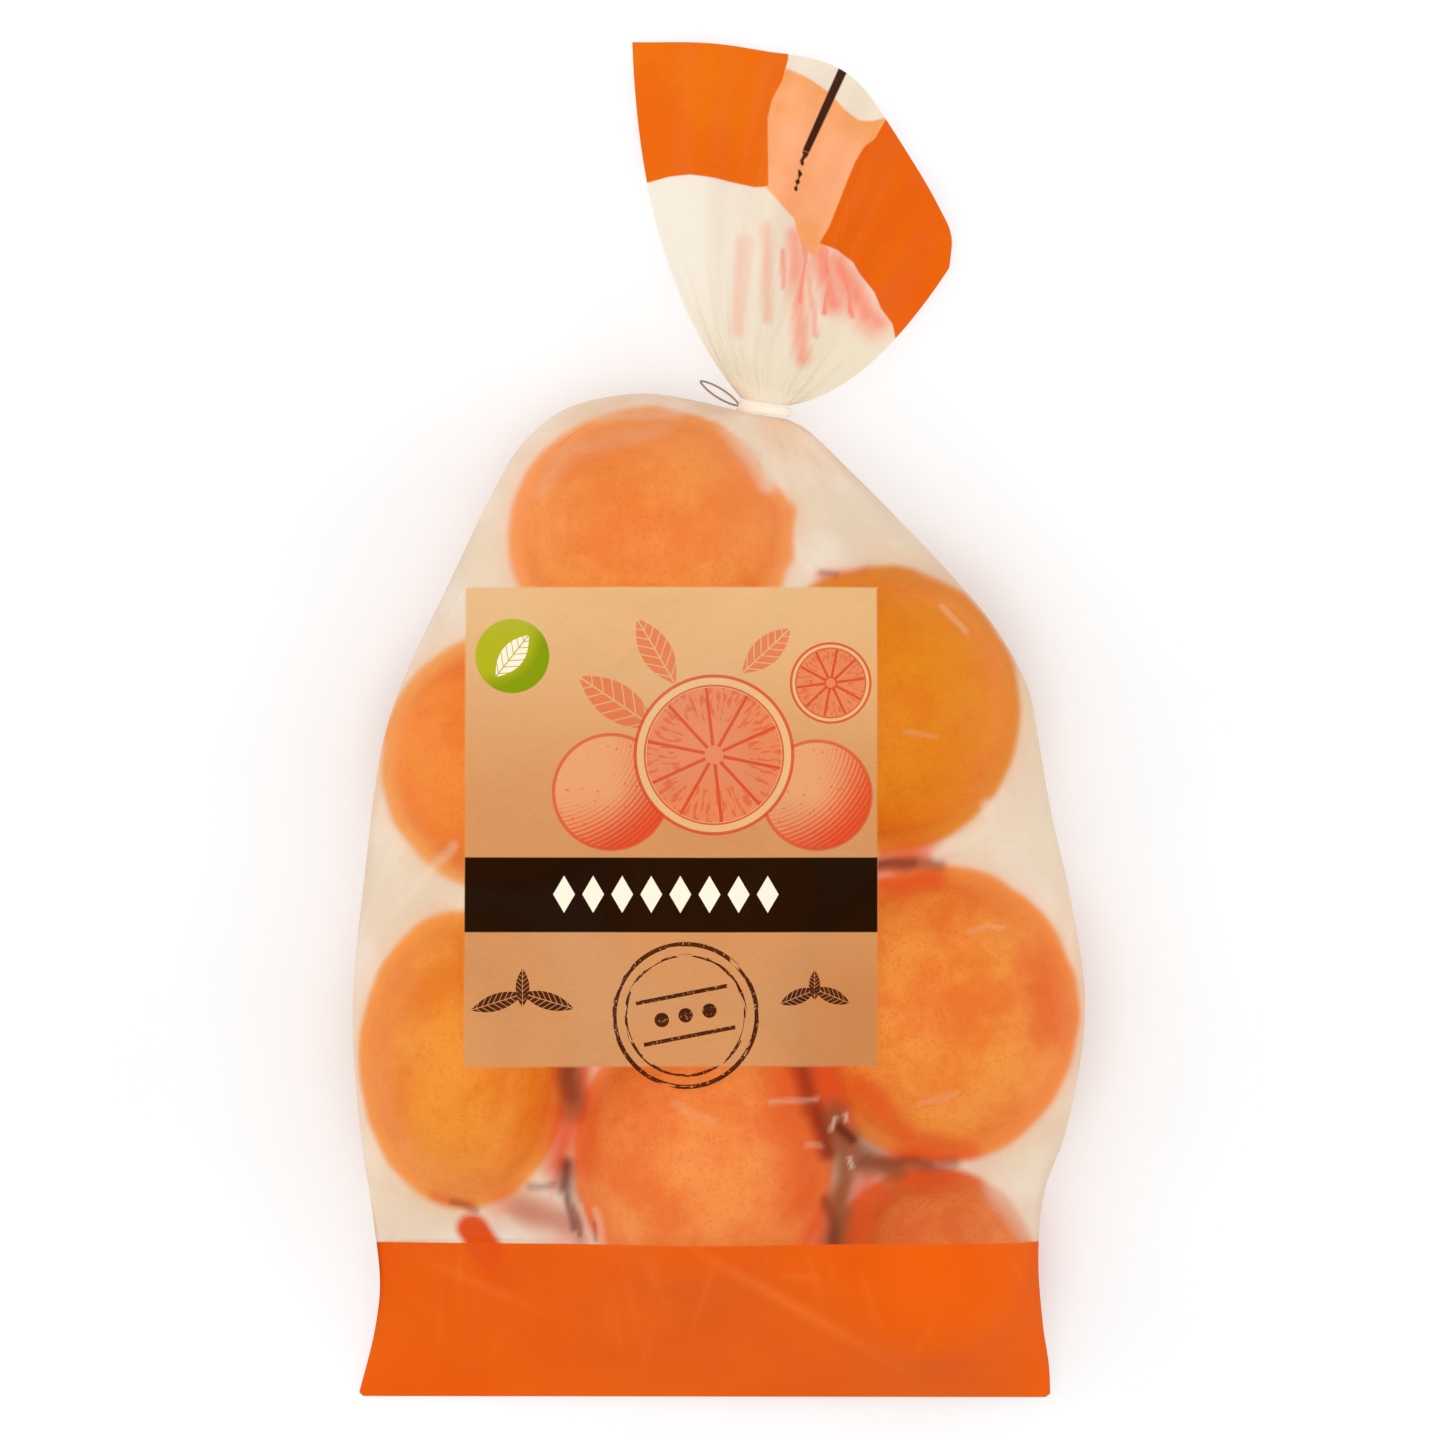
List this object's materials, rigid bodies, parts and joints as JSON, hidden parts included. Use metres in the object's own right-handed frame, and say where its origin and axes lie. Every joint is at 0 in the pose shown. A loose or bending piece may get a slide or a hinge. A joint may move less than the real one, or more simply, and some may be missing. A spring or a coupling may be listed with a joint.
{
  "type": "bag of mandarins",
  "caption": "Clear film bag filled with mandarins, lying on its back: bulging body, welded bottom seam, gathered and tied neck, pleated open skirt.",
  "frame": {"origin": "on the surface the bag lies on, under the middle of its bounding box", "axes": "+Z up, out of the printed face; +Y from the bottom seam to the neck and skirt; +X to the right, seen from above with +Y up"},
  "size_m": [0.1824, 0.3396, 0.0727],
  "materials": {
    "film": "thin clear film, slightly milky, with print",
    "tie": "thin clear strip",
    "peel": "waxy, pored citrus peel"
  },
  "bodies": {
    "root": {"bag": "film", "neck_tie": "tie"}
  },
  "joints": []
}
